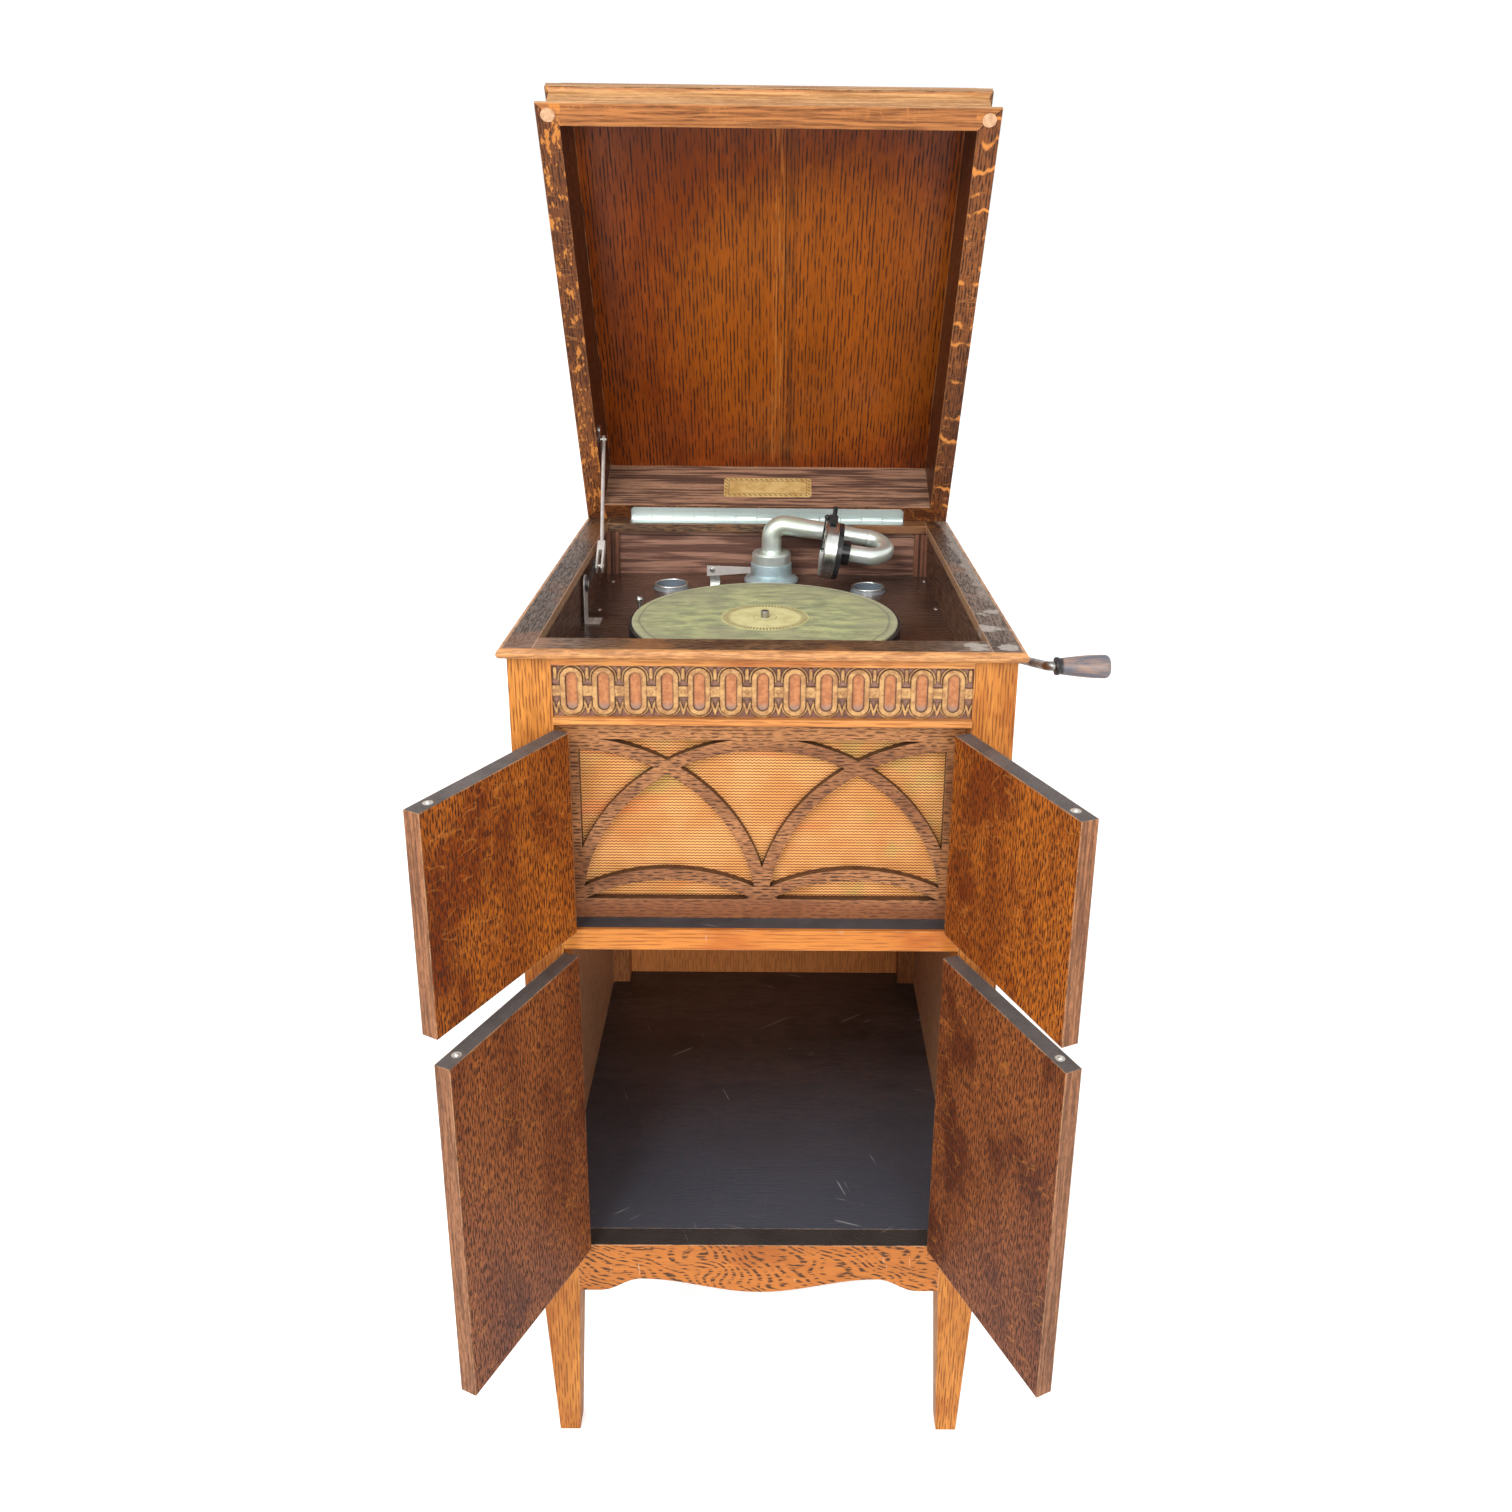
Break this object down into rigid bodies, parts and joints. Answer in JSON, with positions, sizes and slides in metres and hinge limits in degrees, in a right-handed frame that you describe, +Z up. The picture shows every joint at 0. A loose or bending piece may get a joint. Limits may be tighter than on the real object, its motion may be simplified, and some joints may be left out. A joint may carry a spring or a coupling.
{
  "type": "gramophone cabinet",
  "caption": "Floor-standing oak gramophone cabinet with a hinged lid on a stay, hinged doors, an arched grille over a wooden horn, a clockwork turntable, a turning tone arm and a side crank",
  "frame": {"origin": "on the floor under the centre of the case, in the plane of the four feet", "axes": "+X to the viewer's right, where the crank is; +Y to the back; +Z up"},
  "size_m": [0.6516, 0.826, 1.4854],
  "materials": {
    "oak_gold": "satin, warm golden oak",
    "oak_brown": "satin brown oak",
    "oak_rim": "satin grey-brown oak, worn pale",
    "oak_carved": "matte brown oak",
    "oak_fret": "satin oak",
    "oak_dark": "glossy, nearly black",
    "oak_red": "satin red-brown oak",
    "oak_door": "satin red-brown oak",
    "pine": "unpolished softwood",
    "pale_wood": "bare end grain",
    "black_wood": "black polished wood",
    "grille_cloth": "woven, golden",
    "felt": "olive felt",
    "paper_label": "printed card",
    "nickel": "bright nickel plate",
    "old_nickel": "dull greenish nickel plate",
    "zinc": "bluish zinc plate",
    "steel": "plain steel",
    "dark_steel": "dark steel",
    "cast_iron": "rough casting",
    "aged_brass": "dull brass",
    "gear_brass": "clean brass",
    "gilt": "matte gilt",
    "black_enamel": "glossy black enamel"
  },
  "bodies": {
    "case": {"post_front_left": "oak_gold", "post_front_right": "oak_gold", "post_back_left": "oak_gold", "post_back_right": "oak_gold", "side_panel_left": "oak_brown", "side_panel_right": "oak_brown", "back_panel": "oak_brown", "rim_frame": "oak_rim", "frieze_rail": "oak_carved", "frieze_beads": "oak_gold", "mid_shelf": "oak_gold", "floor_board": "oak_dark", "front_apron": "oak_gold", "bottom_rails": "oak_brown", "grille_fret": "oak_fret", "grille_cloth": "grille_cloth", "motor_board": "oak_dark", "well_liners": "oak_red", "board_fittings": "nickel", "horn_body": "pine", "horn_elbow": "cast_iron", "case_door_fittings": "aged_brass", "piano_leaf_case": "nickel", "stay_bracket": "nickel", "motor_frame": "cast_iron", "needle_cups": "nickel", "tone_arm_base": "zinc", "crank_escutcheon": "nickel"},
    "upper_left_door": {"door_upper_left": "oak_door", "fittings_upper_left": "aged_brass"},
    "upper_right_door": {"door_upper_right": "oak_door", "fittings_upper_right": "aged_brass"},
    "lower_left_door": {"door_lower_left": "oak_door", "fittings_lower_left": "aged_brass"},
    "lower_right_door": {"door_lower_right": "oak_door", "fittings_lower_right": "aged_brass"},
    "lid": {"lid_frame": "oak_red", "lid_top": "oak_red", "lid_buffers": "pale_wood", "lid_plaque": "gilt", "piano_leaf_lid": "nickel", "stay_lid_plate": "nickel"},
    "stay_rod_body": {"stay_rod": "nickel"},
    "stay_lever_body": {"stay_lever": "dark_steel"},
    "turntable": {"turntable_spindle": "steel", "turntable_platter": "dark_steel", "turntable_felt": "felt", "turntable_label": "paper_label"},
    "intermediate": {"intermediate_arbor": "gear_brass"},
    "barrel": {"spring_barrel": "dark_steel"},
    "governor_body": {"governor": "gear_brass"},
    "crank": {"crank_rod": "steel"},
    "grip": {"crank_grip": "black_wood"},
    "arm": {"tone_arm_tube": "old_nickel"},
    "crook": {"tone_arm_crook": "old_nickel", "soundbox_ring": "nickel", "soundbox_back": "black_enamel", "needle_bar": "black_enamel"},
    "start": {"start_lever": "nickel"},
    "trip": {"trip_strip": "nickel"}
  },
  "joints": [
    {"name": "lid_hinge", "type": "hinge", "parent": "case", "child": "lid", "pos_m": [0, 0.2834, 0.9585], "axis": [1, 0, 0], "range_deg": [0, 61.8]},
    {"name": "stay_rod_pivot", "type": "hinge", "parent": "lid", "child": "stay_rod_body", "pos_m": [-0.2154, 0.25481, 1.07002], "axis": [1, 0, 0], "range_deg": [-88.9, 1]},
    {"name": "stay_lever_pivot", "type": "hinge", "parent": "case", "child": "stay_lever_body", "pos_m": [-0.2098, 0.032, 0.934], "axis": [1, 0, 0], "range_deg": [-1, 170]},
    {"name": "upper_left_hinge", "type": "hinge", "parent": "case", "child": "upper_left_door", "pos_m": [-0.199, -0.2748, 0.661], "axis": [0, 0, 1], "range_deg": [-57, 118]},
    {"name": "upper_right_hinge", "type": "hinge", "parent": "case", "child": "upper_right_door", "pos_m": [0.199, -0.2748, 0.661], "axis": [0, 0, 1], "range_deg": [-113, 62]},
    {"name": "lower_left_hinge", "type": "hinge", "parent": "case", "child": "lower_left_door", "pos_m": [-0.199, -0.2748, 0.2695], "axis": [0, 0, 1], "range_deg": [-60, 115]},
    {"name": "lower_right_hinge", "type": "hinge", "parent": "case", "child": "lower_right_door", "pos_m": [0.199, -0.2748, 0.2695], "axis": [0, 0, 1], "range_deg": [-115, 60]},
    {"name": "turntable_spin", "type": "hinge", "parent": "case", "child": "turntable", "pos_m": [0, -0.061, 0.923], "axis": [0, 0, 1], "continuous": true},
    {"name": "intermediate_spin", "type": "hinge", "parent": "case", "child": "intermediate", "pos_m": [-0.03691, -0.0533, 0.86], "axis": [0, 0, 1], "continuous": true},
    {"name": "barrel_spin", "type": "hinge", "parent": "case", "child": "barrel", "pos_m": [-0.072, -0.012, 0.86], "axis": [0, 0, 1], "continuous": true},
    {"name": "governor_spin", "type": "hinge", "parent": "case", "child": "governor_body", "pos_m": [0, -0.0853, 0.827], "axis": [1, 0, 0], "continuous": true},
    {"name": "crank_turn", "type": "hinge", "parent": "case", "child": "crank", "pos_m": [0.24, -0.012, 0.86], "axis": [1, 0, 0], "continuous": true},
    {"name": "grip_spin", "type": "hinge", "parent": "crank", "child": "grip", "pos_m": [0.316, -0.1533, 0.90052], "axis": [1, 0, 0], "continuous": true},
    {"name": "tone_arm_swing", "type": "hinge", "parent": "case", "child": "arm", "pos_m": [0.006, 0.221, 0.914], "axis": [0, 0, 1], "range_deg": [-95, 5]},
    {"name": "crook_turn", "type": "hinge", "parent": "arm", "child": "crook", "pos_m": [0.131, 0.221, 0.94855], "axis": [0.989, 0, -0.1478], "range_deg": [-100, 0]},
    {"name": "start_lever_turn", "type": "hinge", "parent": "case", "child": "start", "pos_m": [-0.11379, 0.05047, 0.8905], "axis": [0, 0, 1], "range_deg": [-12, 0]},
    {"name": "trip_turn", "type": "hinge", "parent": "case", "child": "trip", "pos_m": [-0.071, 0.196, 0.9097], "axis": [0, 1, 0], "range_deg": [-20, 8]}
  ],
  "couplings": [
    {"joint": "stay_rod_pivot", "follows": "lid_hinge", "ratio": -1.4223},
    {"joint": "stay_lever_pivot", "follows": "lid_hinge", "ratio": 2.7341},
    {"joint": "intermediate_spin", "follows": "turntable_spin", "ratio": -0.25},
    {"joint": "barrel_spin", "follows": "turntable_spin", "ratio": 0.05},
    {"joint": "governor_spin", "follows": "turntable_spin", "ratio": 20}
  ]
}
